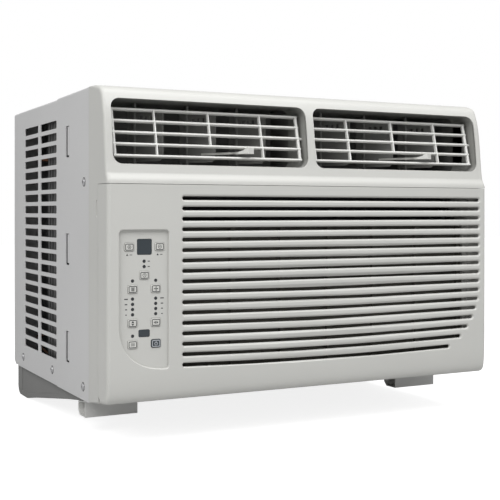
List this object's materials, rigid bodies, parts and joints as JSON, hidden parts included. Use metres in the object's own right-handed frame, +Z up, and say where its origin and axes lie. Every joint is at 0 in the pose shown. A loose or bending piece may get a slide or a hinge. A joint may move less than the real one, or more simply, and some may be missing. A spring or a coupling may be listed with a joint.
{
  "type": "window air conditioner",
  "caption": "Window air conditioner with a hinged slotted intake panel, tilting louvers with lever-led vanes, push-button panel, vented steel cabinet and sloped base pan.",
  "frame": {"origin": "under the middle of the whole object, at the level of the base pan's lowest face", "axes": "+X to the right as seen from the room, +Y towards the outdoor side, +Z up"},
  "size_m": [0.4736, 0.366, 0.363],
  "materials": {
    "bezel_plastic": "satin moulded plastic, warm light grey",
    "cabinet_paint": "satin painted sheet steel, light grey",
    "pan_steel": "coated sheet steel, mid grey",
    "inner_zinc": "zinc-coated sheet steel",
    "coil_fins": "thin aluminium fins",
    "compressor_black": "black enamel",
    "copper": "bare copper tube",
    "fan_black": "black moulded plastic",
    "foam_white": "expanded foam and moulded plastic",
    "duct_grey": "dark grey moulded duct",
    "filter_mesh": "dark grey mesh in a plastic frame",
    "board_green": "green circuit board",
    "dark_window": "dark slate glossy plastic",
    "lever_white": "white moulded plastic",
    "vane_grey": "dark grey moulded plastic",
    "button_grey": "soft light grey plastic with printed outlines",
    "screw_steel": "bright zinc-plated screw"
  },
  "bodies": {
    "chassis": {"front_bezel": "bezel_plastic", "control_panel": "bezel_plastic", "cabinet_cover": "cabinet_paint", "base_pan": "pan_steel", "foot_left": "pan_steel", "foot_right": "pan_steel", "bulkhead": "inner_zinc", "motor_bracket": "inner_zinc", "control_box": "inner_zinc", "run_capacitor": "inner_zinc", "fan_motor": "inner_zinc", "evaporator_coil": "coil_fins", "condenser_coil": "coil_fins", "compressor": "compressor_black", "suction_line": "copper", "discharge_line": "copper", "capillary_tube": "copper", "temperature_sensor": "copper", "cord_gland": "fan_black", "blower_housing": "foam_white", "discharge_duct": "duct_grey", "condenser_shroud": "foam_white", "control_board": "board_green", "led_light_guide": "dark_window", "display_lens": "dark_window", "ir_window": "dark_window", "screw_left_1": "screw_steel", "screw_left_2": "screw_steel", "screw_left_3": "screw_steel", "screw_left_4": "screw_steel", "screw_right_1": "screw_steel", "screw_right_2": "screw_steel", "screw_right_3": "screw_steel", "screw_right_4": "screw_steel"},
    "panel": {"intake_grille": "bezel_plastic"},
    "filter": {"air_filter": "filter_mesh"},
    "rotor": {"motor_shaft": "inner_zinc", "blower_wheel": "fan_black", "condenser_fan": "fan_black"},
    "key_temp_up": {"button_temp_up": "button_grey"},
    "key_temp_down": {"button_temp_down": "button_grey"},
    "key_timer": {"button_timer": "button_grey"},
    "key_sleep": {"button_sleep": "button_grey"},
    "key_fan": {"button_fan": "button_grey"},
    "key_mode": {"button_mode": "button_grey"},
    "key_swing": {"button_swing": "button_grey"},
    "key_filter": {"button_filter": "button_grey"},
    "key_power": {"button_power": "dark_window"},
    "left_louver_frame": {"left_louver": "bezel_plastic"},
    "left_swing_a": {"left_vane_a": "vane_grey"},
    "left_swing_b": {"left_vane_b": "vane_grey", "left_vane_lever": "lever_white"},
    "left_swing_c": {"left_vane_c": "vane_grey"},
    "left_link": {"left_link_bar": "vane_grey"},
    "right_louver_frame": {"right_louver": "bezel_plastic"},
    "right_swing_a": {"right_vane_a": "vane_grey"},
    "right_swing_b": {"right_vane_b": "vane_grey", "right_vane_lever": "lever_white"},
    "right_swing_c": {"right_vane_c": "vane_grey"},
    "right_link": {"right_link_bar": "vane_grey"}
  },
  "joints": [
    {"name": "panel_hinge", "type": "hinge", "parent": "chassis", "child": "panel", "pos_m": [0, -0.159, 0.0455], "axis": [1, 0, 0], "range_deg": [0, 55]},
    {"name": "filter_slide", "type": "slide", "parent": "chassis", "child": "filter", "axis": [1, 0, 0], "range_m": [0, 0.38]},
    {"name": "rotor_spin", "type": "hinge", "parent": "chassis", "child": "rotor", "pos_m": [0.045, 0, 0.17], "axis": [0, 1, 0], "continuous": true},
    {"name": "press_temp_up", "type": "slide", "parent": "chassis", "child": "key_temp_up", "axis": [0, 1, 0], "range_m": [0, 0.0008], "stiffness_N_per_m": 600},
    {"name": "press_temp_down", "type": "slide", "parent": "chassis", "child": "key_temp_down", "axis": [0, 1, 0], "range_m": [0, 0.0008], "stiffness_N_per_m": 600},
    {"name": "press_timer", "type": "slide", "parent": "chassis", "child": "key_timer", "axis": [0, 1, 0], "range_m": [0, 0.0008], "stiffness_N_per_m": 600},
    {"name": "press_sleep", "type": "slide", "parent": "chassis", "child": "key_sleep", "axis": [0, 1, 0], "range_m": [0, 0.0008], "stiffness_N_per_m": 600},
    {"name": "press_fan", "type": "slide", "parent": "chassis", "child": "key_fan", "axis": [0, 1, 0], "range_m": [0, 0.0008], "stiffness_N_per_m": 600},
    {"name": "press_mode", "type": "slide", "parent": "chassis", "child": "key_mode", "axis": [0, 1, 0], "range_m": [0, 0.0008], "stiffness_N_per_m": 600},
    {"name": "press_swing", "type": "slide", "parent": "chassis", "child": "key_swing", "axis": [0, 1, 0], "range_m": [0, 0.0008], "stiffness_N_per_m": 600},
    {"name": "press_filter", "type": "slide", "parent": "chassis", "child": "key_filter", "axis": [0, 1, 0], "range_m": [0, 0.0008], "stiffness_N_per_m": 600},
    {"name": "press_power", "type": "slide", "parent": "chassis", "child": "key_power", "axis": [0, 1, 0], "range_m": [0, 0.0008], "stiffness_N_per_m": 600},
    {"name": "left_louver_tilt", "type": "hinge", "parent": "chassis", "child": "left_louver_frame", "pos_m": [-0.11575, -0.16, 0.314], "axis": [1, 0, 0], "range_deg": [-10, 20]},
    {"name": "left_vane_a_swing", "type": "hinge", "parent": "chassis", "child": "left_swing_a", "pos_m": [-0.17645, -0.103, 0.315], "axis": [0, 0, 1], "range_deg": [-60, 0]},
    {"name": "left_vane_b_swing", "type": "hinge", "parent": "chassis", "child": "left_swing_b", "pos_m": [-0.11575, -0.103, 0.315], "axis": [0, 0, 1], "range_deg": [-60, 0]},
    {"name": "left_vane_c_swing", "type": "hinge", "parent": "chassis", "child": "left_swing_c", "pos_m": [-0.05505, -0.103, 0.315], "axis": [0, 0, 1], "range_deg": [-60, 0]},
    {"name": "left_link_slide", "type": "slide", "parent": "chassis", "child": "left_link", "axis": [1, 0, 0], "range_m": [0, 0.008]},
    {"name": "right_louver_tilt", "type": "hinge", "parent": "chassis", "child": "right_louver_frame", "pos_m": [0.11575, -0.16, 0.314], "axis": [1, 0, 0], "range_deg": [-10, 20]},
    {"name": "right_vane_a_swing", "type": "hinge", "parent": "chassis", "child": "right_swing_a", "pos_m": [0.05505, -0.103, 0.315], "axis": [0, 0, 1], "range_deg": [-60, 0]},
    {"name": "right_vane_b_swing", "type": "hinge", "parent": "chassis", "child": "right_swing_b", "pos_m": [0.11575, -0.103, 0.315], "axis": [0, 0, 1], "range_deg": [-60, 0]},
    {"name": "right_vane_c_swing", "type": "hinge", "parent": "chassis", "child": "right_swing_c", "pos_m": [0.17645, -0.103, 0.315], "axis": [0, 0, 1], "range_deg": [-60, 0]},
    {"name": "right_link_slide", "type": "slide", "parent": "chassis", "child": "right_link", "axis": [1, 0, 0], "range_m": [0, 0.008]}
  ],
  "couplings": [
    {"joint": "left_vane_a_swing", "follows": "left_vane_b_swing", "ratio": 1},
    {"joint": "left_vane_c_swing", "follows": "left_vane_b_swing", "ratio": 1},
    {"joint": "left_link_slide", "follows": "left_vane_b_swing", "m_per_rad": -0.0076394},
    {"joint": "right_vane_a_swing", "follows": "right_vane_b_swing", "ratio": 1},
    {"joint": "right_vane_c_swing", "follows": "right_vane_b_swing", "ratio": 1},
    {"joint": "right_link_slide", "follows": "right_vane_b_swing", "m_per_rad": -0.0076394}
  ]
}
